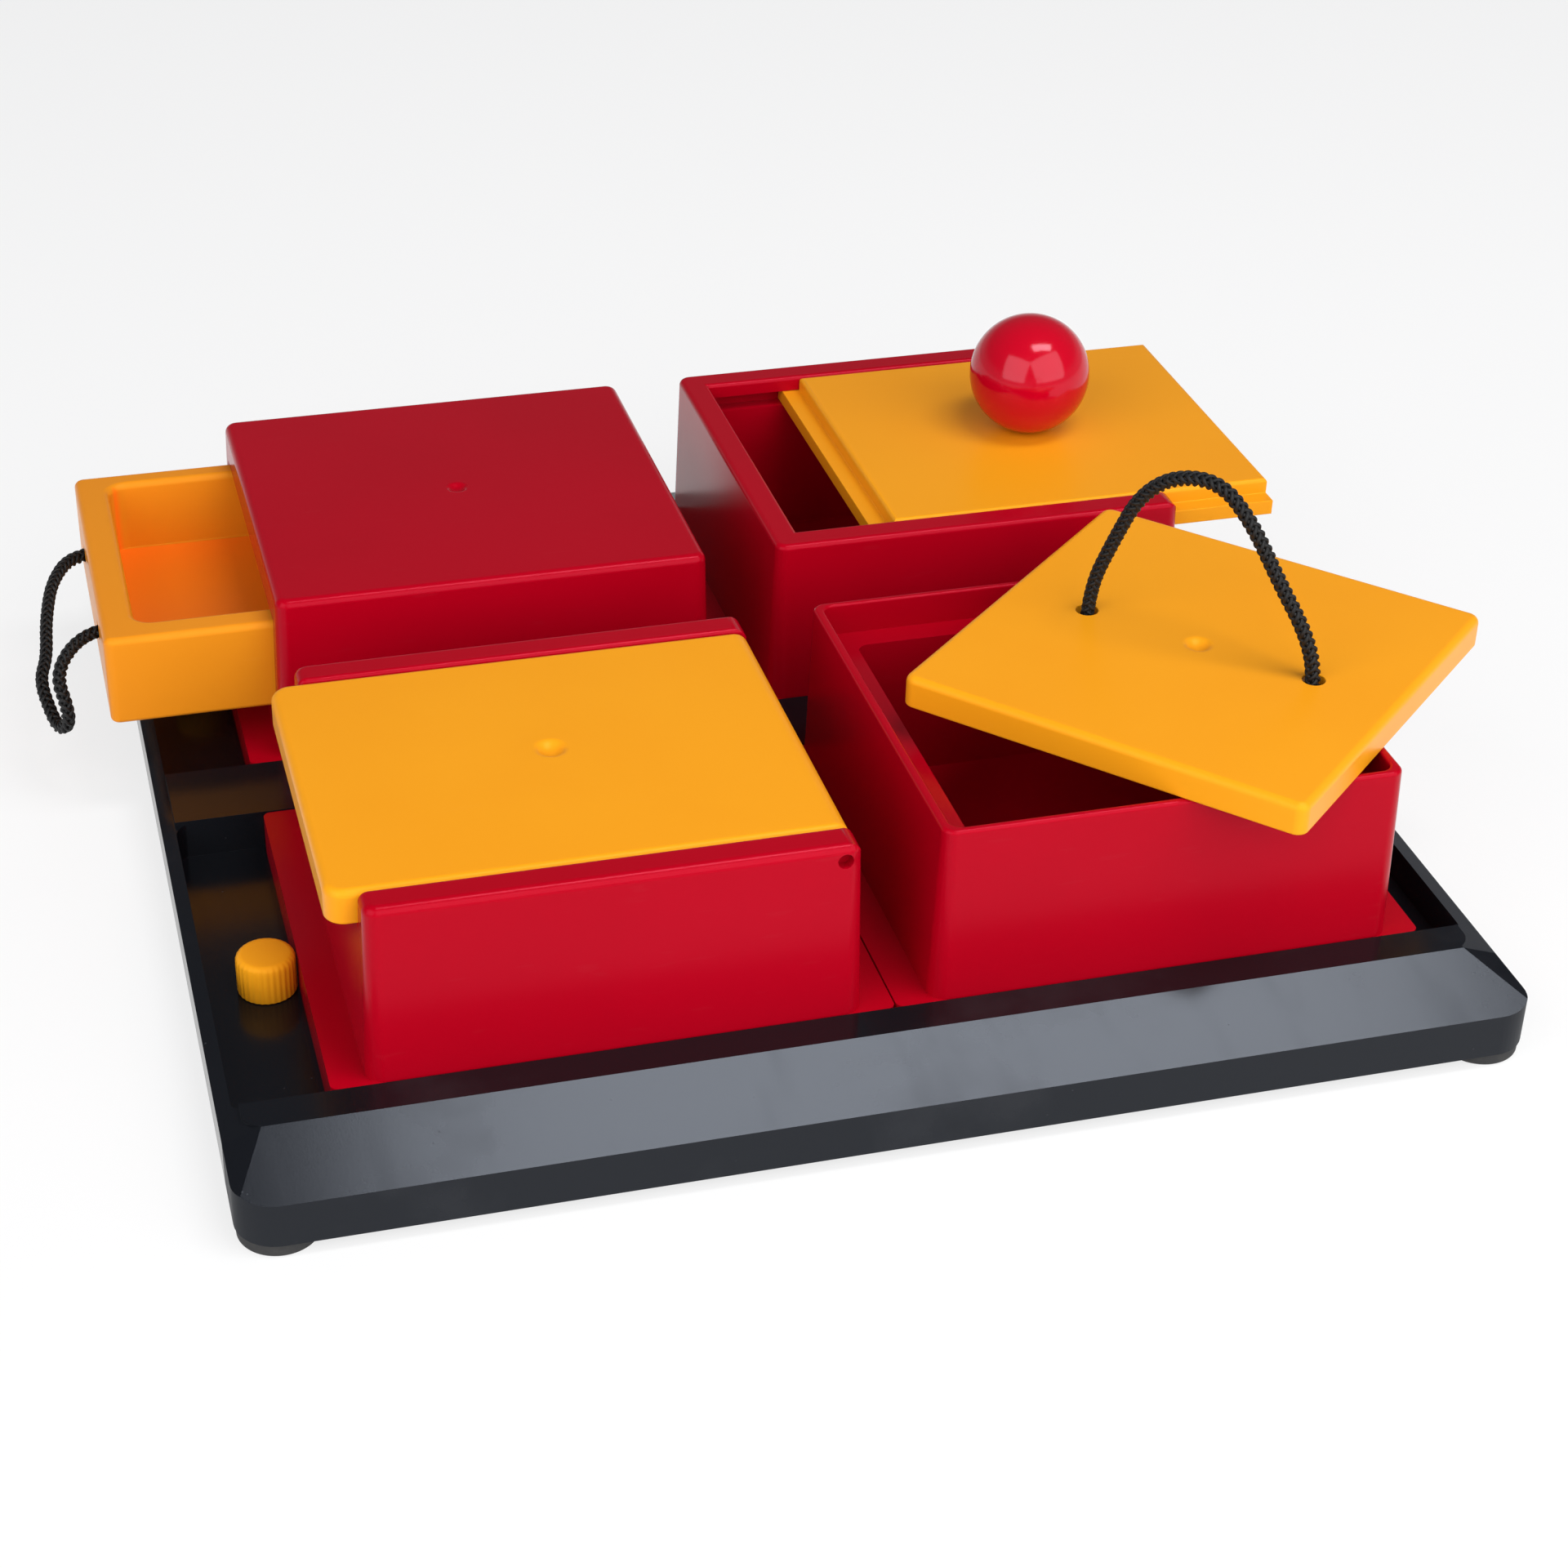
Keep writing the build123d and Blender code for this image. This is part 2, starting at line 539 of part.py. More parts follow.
def make_drawer():
    cy = ROW_Y[1]
    left, right, front, back = DRAWER_WALLS
    x = (DRAWER_LEFT, DRAWER_LEFT + DRAWER_LENGTH)
    y = span(cy, DRAWER_WIDTH / 2)
    body = rounded(x, y, (DRAWER_BOTTOM, DRAWER_TOP), DRAWER_CORNER)
    cavity = (
        (x[0] + left, x[1] - right),
        (y[0] + front, y[1] - back),
        (DRAWER_FLOOR, DRAWER_TOP + PAST),
    )
    body -= rounded(*cavity, CAVITY_CORNER)
    body = fillet(level_edges(body, DRAWER_TOP), DRAWER_EDGE)
    body = fillet(level_edges(body, DRAWER_BOTTOM), EDGE)
    hollow = ((y[0] + BOX_SKIN, y[1] - BOX_SKIN), (DRAWER_BOTTOM - 1, DRAWER_TOP - BOX_SKIN))
    core = block((x[0] + BOX_SKIN, x[1] - BOX_SKIN), *hollow) - block(*grown(cavity, BOX_SKIN))
    body -= core + block(knot_room(), *hollow)
    for hole_y in DRAWER_HOLE_Y:
        start = (x[0] - PAST, hole_y, DRAWER_HOLE_Z)
        body -= rod(start, (1, 0, 0), PAST + 2 * FACE_SKIN, DRAWER_ROPE_D + 2 * ROPE_PLAY)
    return body


# ------------------------------------------------------------------ sliding lid and its knob
def make_sliding_lid():
    cy = ROW_Y[1]
    low, high = SLIDE_PLATE
    plate_half = LIP_HALF - SLIDE_PLAY
    plate = block((SLIDE_LEFT, SLIDE_RIGHT), span(cy, plate_half), (low - 1, high))
    tongue = block(
        (SLIDE_LEFT - GROOVE_DEPTH, SLIDE_RIGHT),
        span(cy, plate_half + GROOVE_DEPTH),
        (SLIDE_TONGUE, low),
    )
    plate = fillet(level_edges(plate, high), EDGE)
    lid = plate + tongue
    recess = (
        (SLIDE_LEFT + LID_WALL, SLIDE_RIGHT - LID_WALL),
        span(cy, plate_half - LID_WALL),
        (SLIDE_TONGUE - 1, high - LID_SKIN),
    )
    boss = rod((*BALL_AT[:2], SLIDE_TONGUE), (0, 0, 1), high - SLIDE_TONGUE, BALL_BOSS_D)
    for cell in ribbed_recess(*recess, columns=4, rows=4):
        lid -= cell - boss
    below = (*BALL_AT[:2], SLIDE_TONGUE - 1)
    lid -= rod(below, (0, 0, 1), 1 + SCREW_SUNK + SCREW_HEAD, SCREW_HEAD_D + 6 * SCREW_PLAY)
    return lid - rod(below, (0, 0, 1), 1 + high - SLIDE_TONGUE + PAST, SCREW_D + 2 * SCREW_PLAY)


def make_ball():
    ball = Pos(*BALL_AT) * Sphere(BALL_D / 2)
    seat = SLIDE_PLATE[1]
    ball -= block(span(BALL_AT[0], BALL_D), span(BALL_AT[1], BALL_D), (seat - BALL_D, seat))
    return ball - rod((*BALL_AT[:2], seat), (0, 0, 1), SCREW_BITE, SCREW_D)


def make_knob_screw():
    head_top = SLIDE_TONGUE + SCREW_SUNK + SCREW_HEAD
    head = rod((*BALL_AT[:2], head_top - SCREW_HEAD), (0, 0, 1), SCREW_HEAD, SCREW_HEAD_D)
    length = SLIDE_PLATE[1] + SCREW_BITE - SCREW_TIP - head_top
    return head + rod((*BALL_AT[:2], head_top), (0, 0, 1), length, SCREW_D)


# ------------------------------------------------------------------ lock knobs
def make_lock_knob(y):
    """A knurled knob whose stem goes through the tray's floor and ends in a crossbar."""
    bottom = POCKET_FLOOR + LOCK_PLAY / 2
    head = Pos(LOCK_X, y, (bottom + LOCK_TOP) / 2) * Cylinder(LOCK_D / 2, LOCK_TOP - bottom)
    head = fillet(level_edges(head, LOCK_TOP), LOCK_EDGE)
    for place in PolarLocations(LOCK_D / 2, LOCK_GROOVES):
        head -= Pos(LOCK_X, y, bottom) * place * Cylinder(LOCK_GROOVE_R, 4 * LOCK_TOP)
    length, width, height = LOCK_BAR
    bar_top = POCKET_FLOOR - FLOOR_SKIN - LOCK_PLAY
    stem = rod((LOCK_X, y, bar_top), (0, 0, 1), bottom - bar_top, LOCK_STEM_D)
    bar = Pos(LOCK_X, y, bar_top - height / 2) * Box(width, length, height)
    return head + stem + bar


# ------------------------------------------------------------------ write every node
os.makedirs("parts", exist_ok=True)
save(make_tray(), "tray")
FOOT_NAMES = ["foot_front_left", "foot_front_right", "foot_back_left", "foot_back_right"]
for foot_name, place in zip(FOOT_NAMES, foot_places()):
    save(make_foot(*place), foot_name)
save(make_flap_box(), "flap_box")
save(make_lift_box(), "lift_box")
save(make_drawer_box(), "drawer_box")
save(make_slide_box(), "slide_box")
save(make_flap_lid(), "flap_lid")
save(make_hinge_pin(), "hinge_pin")
save(make_lift_lid(), "lift_lid")
LIFT_POINTS = lift_route()
save(rope(LIFT_POINTS, LIFT_ROPE_D, "lift rope"), "lift_rope")
save(lift_knot(LIFT_POINTS[0]) + lift_knot(LIFT_POINTS[-1]), "lift_rope_knots")
save(make_drawer(), "drawer")
save(rope(DRAWER_ROUTE, DRAWER_ROPE_D, "drawer rope"), "drawer_rope")
save(drawer_knot(DRAWER_ROUTE[0]) + drawer_knot(DRAWER_ROUTE[-1]), "drawer_rope_knots")
save(make_sliding_lid(), "sliding_lid")
save(make_ball(), "ball_knob")
save(make_knob_screw(), "knob_screw")
save(make_lock_knob(ROW_Y[0]), "front_lock_knob")
save(make_lock_knob(ROW_Y[1]), "back_lock_knob")
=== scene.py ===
# %% [markdown]
# # A dog puzzle feeder, dressed for the camera
#
# The feeder is a black tray with four red treat boxes. Each box opens in its own way: a hinged
# flap, a lift-off lid on a rope, a drawer on a rope, and a lid that slides under two lips. The
# construction model already gives every part its place and size, in metres. Here we give those
# parts their moulded edges, their braided rope and their plastics, and we light them like a
# catalogue picture.

from itertools import product
from math import atan2, cos, pi, radians, sin, tan

import bmesh
import bpy
from mathutils import Matrix, Vector


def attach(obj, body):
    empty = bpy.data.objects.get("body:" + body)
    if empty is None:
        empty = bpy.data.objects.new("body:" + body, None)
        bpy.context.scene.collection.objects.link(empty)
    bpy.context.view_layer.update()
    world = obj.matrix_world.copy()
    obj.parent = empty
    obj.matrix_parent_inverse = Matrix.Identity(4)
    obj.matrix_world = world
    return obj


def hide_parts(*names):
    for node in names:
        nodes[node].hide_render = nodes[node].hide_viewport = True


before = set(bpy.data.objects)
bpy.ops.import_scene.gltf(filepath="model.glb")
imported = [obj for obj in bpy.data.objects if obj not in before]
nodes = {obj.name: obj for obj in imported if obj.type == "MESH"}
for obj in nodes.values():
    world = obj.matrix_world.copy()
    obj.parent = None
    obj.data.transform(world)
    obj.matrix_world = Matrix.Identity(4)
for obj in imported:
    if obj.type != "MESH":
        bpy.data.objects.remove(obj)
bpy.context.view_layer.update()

# %% [markdown]
# ## The camera
#
# A long lens a good half metre away looks down at the tray's front, turned a little to the right.
# The tray's own middle is not quite the scene's origin, because the origin lies under the middle
# of everything, with the open drawer and lids. All measured places below are counted from
# the tray's middle, so one offset moves them into the scene.

# %% Place the camera
TRAY_MIDDLE = Vector((-0.00476, 0.0, 0.0035))
CAMERA_FROM_TRAY = Vector((-0.18726, -0.66887, 0.44295))
YAW, PITCH, ROLL = 0.260, 0.561, 0.0136     # radians
LENS, SHIFT = 70.03, (0.0475, -0.0088)

forward = Vector((sin(YAW) * cos(PITCH), cos(YAW) * cos(PITCH), -sin(PITCH)))
level_right = Vector((cos(YAW), -sin(YAW), 0))
level_up = level_right.cross(forward)
camera_right = cos(ROLL) * level_right + sin(ROLL) * level_up
camera_up = cos(ROLL) * level_up - sin(ROLL) * level_right

camera = bpy.data.objects.new("camera", bpy.data.cameras.new("camera"))
bpy.context.scene.collection.objects.link(camera)
axes = Matrix((camera_right, camera_up, -forward)).transposed()
camera.matrix_world = Matrix.Translation(CAMERA_FROM_TRAY + TRAY_MIDDLE) @ axes.to_4x4()
camera.data.lens = LENS
camera.data.shift_x, camera.data.shift_y = SHIFT
bpy.context.scene.camera = camera
print("camera at", [round(c, 3) for c in camera.location])

# %% [markdown]
# ## The ropes' routes
#
# Both handles are short pieces of braided cord, knotted behind the plastic. A NURBS spline of
# order three draws each as one smooth bend: the points below pull the line towards them without
# making corners. The braid later follows this line, so nothing else decides the ropes' shape.

# %% Draw the two centre lines
LID_MIDDLE = (98.1, -65.1)
LID_TURN = radians(42.4)
LIFT_ROUTE = [
    (-30.8, 62.0), (-30.8, 75.0), (-25.2, 90.5), (-19.5, 104.5), (-10.5, 112.5), (1.5, 114.0),
    (10.5, 105.5), (18.5, 93.0), (27.5, 80.5), (30.9, 70.5), (30.8, 62.0),
]
DRAWER_ROUTE = [
    (-158.2, 101.0, 39.8), (-166.5, 101.0, 40.2), (-173.3, 90.0, 38.6), (-176.4, 77.0, 33.8),
    (-177.5, 66.0, 28.0), (-180.1, 59.0, 25.5), (-178.5, 52.3, 19.8), (-176.8, 47.5, 16.8),
    (-174.5, 43.0, 19.5), (-173.8, 41.8, 24.9), (-176.2, 46.8, 34.8), (-166.5, 57.0, 40.4),
    (-158.2, 57.0, 39.8),
]


def at(x, y, z):
    """A place measured from the tray's middle in millimetres, as a point of the scene in metres."""
    return Vector((x, y, z)) / 1000 + TRAY_MIDDLE


def on_lid(u, z):
    """A place above the lift-off lid: u along the line through its rope holes, z up."""
    return at(LID_MIDDLE[0] + u * sin(LID_TURN), LID_MIDDLE[1] - u * cos(LID_TURN), z)


def mesh_of(source):
    """The mesh that an object shows once its curves and modifiers are worked out."""
    bpy.context.view_layer.update()
    graph = bpy.context.evaluated_depsgraph_get()
    return bpy.data.meshes.new_from_object(source.evaluated_get(graph))


POINTS_PER_SPAN = 24    # how finely a route's curve is divided between two of its points


def centre_line(points):
    """The smooth line through a rope: closely spaced points of its NURBS spline."""
    data = bpy.data.curves.new("route", "CURVE")
    data.dimensions = "3D"
    data.resolution_u = POINTS_PER_SPAN
    spline = data.splines.new("NURBS")
    spline.points.add(len(points) - 1)
    for slot, point in zip(spline.points, points):
        slot.co = (*point, 1)
    spline.order_u = 3
    spline.use_endpoint_u = True
    route = bpy.data.objects.new("route", data)
    bpy.context.scene.collection.objects.link(route)
    mesh = mesh_of(route)
    line = [vertex.co.copy() for vertex in mesh.vertices]
    bpy.data.objects.remove(route)
    bpy.data.curves.remove(data)
    bpy.data.meshes.remove(mesh)
    return line


def length_of(line):
    """The length of a line of points, in metres."""
    return sum((b - a).length for a, b in zip(line, line[1:]))


lift_line = centre_line([on_lid(u, z) for u, z in LIFT_ROUTE])
drawer_line = centre_line([at(*point) for point in DRAWER_ROUTE])
for rope, line in (("lift rope", lift_line), ("drawer rope", drawer_line)):
    print(rope, "is", round(length_of(line), 4), "m long")

# %% [markdown]
# ## Finishes written as arithmetic
#
# A shader is a small sum over the surface: so much roughness here, a little less where it is
# worn. Writing that sum as Python reads better than wiring Math nodes by hand. `Reading` wraps an
# output socket, and each sign adds one Math node. `Finish` starts a material and has one method,
# `node`, for every other kind of node: its settings go in first, then the values or links of its
# sockets.

# %% A reading that does sums, and a finish that makes nodes
class Reading:
    """A number over the surface. Arithmetic on it adds Math nodes to its finish."""

    def __init__(self, finish, socket):
        self.finish, self.socket = finish, socket

    def math(self, operation, first, second):
        return self.finish.node("Math", {"operation": operation}, {0: first, 1: second})

    def __add__(self, other):
        return self.math("ADD", self, other)

    def __radd__(self, other):
        return self.math("ADD", other, self)

    def __sub__(self, other):
        return self.math("SUBTRACT", self, other)

    def __rsub__(self, other):
        return self.math("SUBTRACT", other, self)

    def __mul__(self, other):
        return self.math("MULTIPLY", self, other)

    def __rmul__(self, other):
        return self.math("MULTIPLY", other, self)


class Finish:
    """One material, built node by node round a Principled shader. Constants go on its sockets."""

    def __init__(self, name, **constants):
        self.material = bpy.data.materials.new(name)
        self.material.use_nodes = True
        self.tree = self.material.node_tree
        self.tree.nodes.clear()
        output = self.tree.nodes.new("ShaderNodeOutputMaterial")
        self.shader = self.tree.nodes.new("ShaderNodeBsdfPrincipled")
        self.tree.links.new(self.shader.outputs[0], output.inputs["Surface"])
        for label, value in constants.items():
            self.shader.inputs[self.title(label)].default_value = value

    @staticmethod
    def title(label):
        """A socket's name in Blender, such as Specular IOR Level for specular_ior_level."""
        return label.replace("_", " ").title().replace("Ior", "IOR")

    def node(self, kind, settings=None, inputs=None, output=0):
        made = self.tree.nodes.new("ShaderNode" + kind)
        for name, value in (settings or {}).items():
            if name == "stops":
                ramp = made.color_ramp
                while len(ramp.elements) < len(value):
                    ramp.elements.new(0.5)
                for element, (place, colour) in zip(ramp.elements, value):
                    element.position = place
                    element.color = (*colour, 1)
            else:
                setattr(made, name, value)
        for name, value in (inputs or {}).items():
            self.feed(made.inputs[name], value)
        return Reading(self, made.outputs[output])

    def feed(self, socket, value):
        if isinstance(value, Reading):
            self.tree.links.new(value.socket, socket)
        elif isinstance(value, (tuple, list)) and len(socket.default_value) > len(value):
            socket.default_value = (*value, 1)
        else:
            socket.default_value = value

    def set(self, **links):
        for label, value in links.items():
            self.feed(self.shader.inputs[self.title(label)], value)
        return self.material

    def place(self, scale=(1, 1, 1), turn=(0, 0, 0)):
        """Object coordinates in metres, stretched and turned for a pattern."""
        coordinates = self.node("TexCoord", output="Object")
        return self.node("Mapping", None, {"Vector": coordinates, "Scale": scale, "Rotation": turn})

    def along(self, axis):
        """How far a point lies along X, Y or Z, in metres."""
        return self.node("SeparateXYZ", None, {"Vector": self.place()}, output=axis)

    def noise(self, scale, detail=2.0, rough=0.5, where=None):
        """Soft random patches: scale is how many there are to a metre."""
        return self.node(
            "TexNoise", None,
            {"Vector": where or self.place(), "Scale": scale, "Detail": detail, "Roughness": rough},
        )

    def between(self, value, low, high):
        """0 where the value is below low, 1 where it is above high, and smooth between."""
        return self.node(
            "MapRange", {"interpolation_type": "SMOOTHSTEP"},
            {"Value": value, "From Min": low, "From Max": high},
        )

    def blend(self, amount, first, second):
        """A colour that goes from the first to the second as the amount goes from 0 to 1."""
        return self.node(
            "Mix", {"data_type": "RGBA"}, {"Factor": amount, 6: first, 7: second}, output=2
        )

    def bump(self, height, strength, distance, normal=None):
        inputs = {"Height": height, "Strength": strength, "Distance": distance}
        if normal:
            inputs["Normal"] = normal
        return self.node("Bump", None, inputs)


print("finishes ready to be mixed")

# %% [markdown]
# ## Moulded plastic
#
# All the coloured parts are injection-moulded. Three things tell that to the eye: a satin sheen
# that is never quite even, a very fine spark-eroded grain from the mould, and handling marks, a
# few thin pale hairline scratches and patches rubbed smoother. One function mixes them for any
# colour, and each part only says how glossy it is.

# %% Mix the plastics
BOUNCE_FADE = 0.001        # metres over which the painted bounce light of a hollow sets in at its walls


def moulded(
    name, colour, shade, rough, grain=0.03, haze=0.03, scratches=0.06, hollow_bounce=None, **constants
):
    """Injection-moulded plastic: colour, the shade of its darker flow patches and its roughness.

    For a hollow, its X limits, its Y limits and a colour can be given: inside it the base colour
    is painted richer, a painted bounce light standing in for light that goes from wall to wall.
    """
    finish = Finish(name, **constants)
    flow = finish.noise(14, 3, 0.55)
    rubbed = finish.noise(55, 4, 0.6)
    grain_height = finish.noise(2600, 2, 0.6)
    long_place = finish.place(scale=(9, 140, 60), turn=(0.3, 0.2, 0.7))
    hairs = finish.between(finish.noise(9, 1, 0.4, long_place), 0.705, 0.75)
    worn = hairs * scratches
    mixed = finish.blend(finish.between(flow, 0.35, 0.7), colour, shade)
    pale = tuple(min(1.0, c * 0.75 + 0.25) for c in colour)
    mixed = finish.blend(worn * 0.12, mixed, pale)
    # painted bounce light: inside the hollow's limits the colour is painted richer, for light
    # bounced between its walls
    if hollow_bounce:
        *limits, bounce_colour = hollow_bounce
        bounce_mask = 1.0
        for axis, (low, high) in zip("XY", limits):
            measure = finish.along(axis)
            bounce_mask = finish.between(measure, low, low + BOUNCE_FADE) * bounce_mask
            bounce_mask = finish.between(measure, high, high - BOUNCE_FADE) * bounce_mask
        mixed = finish.blend(bounce_mask, mixed, bounce_colour)
    roughness = rough + (rubbed - 0.5) * (2 * haze) + worn * 0.1
    return finish.set(
        base_color=mixed, roughness=roughness, normal=finish.bump(grain_height, grain, 0.0002)
    )


# The drawer's hollow: its X limits and Y limits in metres, and the richer colour of the painted
# bounce light inside it.
DRAWER_HOLLOW_BOUNCE = ((-0.1585, -0.0733), (0.0394, 0.1193), (0.97, 0.205, 0.010))

red_plastic = moulded(
    "red moulded plastic", (0.405, 0.0003, 0.0095), (0.385, 0.0003, 0.0085), 0.22,
    specular_ior_level=0.30, specular_tint=(1.0, 0.20, 0.32, 1.0),
)
lid_plastic = moulded(
    "yellow-orange moulded plastic", (0.87, 0.340, 0.010), (0.855, 0.325, 0.009), 0.31,
    specular_ior_level=0.3, specular_tint=(1.0, 0.62, 0.22, 1.0),
)
drawer_plastic = moulded(
    "orange moulded plastic", (0.80, 0.272, 0.012), (0.785, 0.26, 0.011), 0.31,
    hollow_bounce=DRAWER_HOLLOW_BOUNCE, specular_ior_level=0.3, specular_tint=(1.0, 0.55, 0.2, 1.0),
)
knob_plastic = moulded(
    "knurled knob plastic", (0.98, 0.40, 0.013), (0.97, 0.385, 0.012), 0.38,
    specular_ior_level=0.3, specular_tint=(1.0, 0.6, 0.2, 1.0),
)
ball_plastic = moulded(
    "polished red ball", (0.50, 0.0004, 0.013), (0.48, 0.0004, 0.012), 0.13, grain=0.008, haze=0.01,
    scratches=0.05, specular_ior_level=0.42, specular_tint=(1.0, 0.68, 0.80, 1.0),
)
for plastic in (red_plastic, lid_plastic, drawer_plastic, knob_plastic, ball_plastic):
    print("mixed", plastic.name)

# %% [markdown]
# ## Black tray plastic
#
# Black gloss hides nothing: fingers leave soft grey smudges and dust settles in specks, both seen
# only where the surface mirrors something pale. So the smudges change roughness much more than
# colour, and the specks are tiny and few. The ledges at the front and the back are moulded a
# little steeper than their flat outline: a bump that falls outward tilts them, so that they
# mirror the light above and not the boxes beside them.

# %% Mix the tray's black
CREASE = 0.1307     # metres from the tray's middle line to where its front and back ledges begin
LEDGE_TILT = 22.5   # degrees that the bump leans the ledges outward


def black_gloss():
    """Black gloss with smudges, wiped streaks and dust, and the tilt of the tray's two ledges."""
    finish = Finish(
        "black gloss plastic", specular_ior_level=0.31, specular_tint=(0.80, 0.87, 1.0, 1.0)
    )
    smudge = finish.between(finish.noise(22, 5, 0.62), 0.52, 0.72)
    wipe_place = finish.place(scale=(30, 6, 10), turn=(0, 0, 0.25))
    wipes = finish.between(finish.noise(3, 3, 0.5, wipe_place), 0.5, 0.75)
    cells = finish.node("TexVoronoi", None, {"Vector": finish.place(), "Scale": 260})
    dusty = finish.between(finish.noise(60, 2), 0.55, 0.7)
    specks = (1 - finish.between(cells, 0.05, 0.09)) * dusty
    dirt = smudge * 0.12 + specks * 0.4
    colour = finish.blend(dirt, (0.0052, 0.0058, 0.0076), (0.055, 0.056, 0.062))
    roughness = 0.18 + smudge * 0.04 + wipes * 0.03 + specks * 0.2
    beyond = finish.node("Math", {"operation": "ABSOLUTE"}, {0: finish.along("Y")}) - CREASE
    outward = finish.node("Math", {"operation": "MAXIMUM"}, {0: beyond, 1: 0.0})
    crowned = finish.bump(outward * -1.0, 1.0, tan(radians(LEDGE_TILT)))
    height = finish.noise(2200, 2) + specks * 0.5
    return finish.set(
        base_color=colour, roughness=roughness, normal=finish.bump(height, 0.03, 0.0002, crowned)
    )


tray_plastic = black_gloss()
print("mixed", tray_plastic.name)

# %% [markdown]
# ## Rope, rubber and steel
#
# The cord is spun from matt black fibre, so each yarn has fine lengthwise threads and a little
# fuzz that catches light at the edges: a sheen does that. Rubber is plainly matt with a dusty
# bloom. The screw under the ball is drawn steel, brushed along its length.

# %% Mix rope, rubber and steel
def black_yarn():
    """Matt black fibre: fine threads, and clumps a little paler than the rest."""
    finish = Finish("black yarn", sheen_weight=0.02, sheen_roughness=0.4, specular_ior_level=0.34)
    threads = finish.noise(5200, 3, 0.7)
    clumps = finish.noise(700, 2)
    light = threads * 0.7 + clumps * 0.3
    colour = finish.blend(light, (0.0016, 0.0016, 0.0018), (0.0070, 0.0070, 0.0075))
    return finish.set(
        base_color=colour, roughness=0.44 + threads * 0.16, normal=finish.bump(threads, 0.3, 0.0002)
    )


def foot_rubber():
    """Matt rubber under a pale, patchy bloom of dust."""
    finish = Finish("black rubber")
    bloom = finish.between(finish.noise(300, 4, 0.6), 0.45, 0.7)
    colour = finish.blend(bloom, (0.018, 0.018, 0.019), (0.034, 0.033, 0.032))
    return finish.set(
        base_color=colour, roughness=0.68 + bloom * 0.15,
        normal=finish.bump(finish.noise(1500, 3), 0.15, 0.0003),
    )


def drawn_steel():
    """Metal with fine lines from the drawing die."""
    finish = Finish("drawn steel", metallic=1.0)
    lines = finish.noise(40, 2, 0.5, finish.place(scale=(60, 2, 60)))
    colour = finish.blend(lines, (0.50, 0.50, 0.51), (0.62, 0.61, 0.60))
    return finish.set(
        base_color=colour, roughness=0.26 + lines * 0.16, normal=finish.bump(lines, 0.15, 0.0001)
    )


yarn, rubber, steel = black_yarn(), foot_rubber(), drawn_steel()
print("mixed", yarn.name, rubber.name, steel.name)

# %% [markdown]
# ## Softening the moulded edges
#
# A mould can't make a knife edge, and it is the thin light line along each rounded edge that
# makes plastic look real. The construction model leaves the smallest edges sharp. So each such
# part gets a copy: its loose triangles are joined, flat faces are merged, and a Bevel modifier
# rounds whatever still turns sharply. The copy then stands for the part in the picture.

# %% Copy a part and round its edges
def new_piece(mesh_or_bmesh, name, material, body):
    """Put a mesh into the scene as a finished piece on its body."""
    if isinstance(mesh_or_bmesh, bmesh.types.BMesh):
        mesh = bpy.data.meshes.new(name)
        mesh_or_bmesh.to_mesh(mesh)
        mesh_or_bmesh.free()
    else:
        mesh = mesh_or_bmesh
    mesh.materials.clear()
    mesh.materials.append(material)
    piece = bpy.data.objects.new(name, mesh)
    bpy.context.scene.collection.objects.link(piece)
    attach(piece, body)
    return piece


def shade_smooth(mesh):
    """Smooth shading, kept crisp across edges that turn by more than 40 degrees."""
    mesh.polygons.foreach_set("use_smooth", [True] * len(mesh.polygons))
    mesh.set_sharp_from_angle(angle=radians(40))


LARGE = 3e-4        # square metres: a face that ought to look flat up to its edges
SHARP = 35          # degrees: a turn that shows as an edge, and is rounded
SLIGHT = 5          # degrees: a turn that shows as an edge between two large faces
MERGE = 1e-6        # metres: points that are closer than this are one point


def keep_creases(bm):
    """Smooth shading, but crisp along sharp edges and along slight ones between two large faces."""
    for face in bm.faces:
        face.smooth = True
    large = {face.index for face in bm.faces if face.calc_area() > LARGE}
    for edge in bm.edges:
        if len(edge.link_faces) != 2:
            continue
        turn = edge.calc_face_angle(0)
        flat = all(face.index in large for face in edge.link_faces)
        edge.smooth = turn < radians(SLIGHT if flat else SHARP)


def softened(node, name, material, body, slot, width):
    """A copy of a CAD part with rounded edges, which stands for that part."""
    bm = bmesh.new()
    bm.from_mesh(nodes[node].data)
    bmesh.ops.remove_doubles(bm, verts=bm.verts, dist=MERGE)
    bmesh.ops.dissolve_limit(
        bm, angle_limit=radians(0.4), use_dissolve_boundaries=False, verts=bm.verts, edges=bm.edges
    )
    bm.faces.index_update()
    keep_creases(bm)
    piece = new_piece(bm, name, material, body)
    rounding = piece.modifiers.new("rounded edges", "BEVEL")
    rounding.width = width
    rounding.segments = 3
    rounding.limit_method = "ANGLE"
    rounding.angle_limit = radians(SHARP)
    rounding.use_clamp_overlap = True
    even = piece.modifiers.new("even shading", "WEIGHTED_NORMAL")
    even.mode = "FACE_AREA"
    even.weight = 90
    even.keep_sharp = True
    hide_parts(node)
    print(name, "from", node, "with", len(piece.data.polygons), "faces before rounding")


def finish_node(name, material):
    """Give a construction part that stays as it is its own material."""
    nodes[name].data.materials.clear()
    nodes[name].data.materials.append(material)


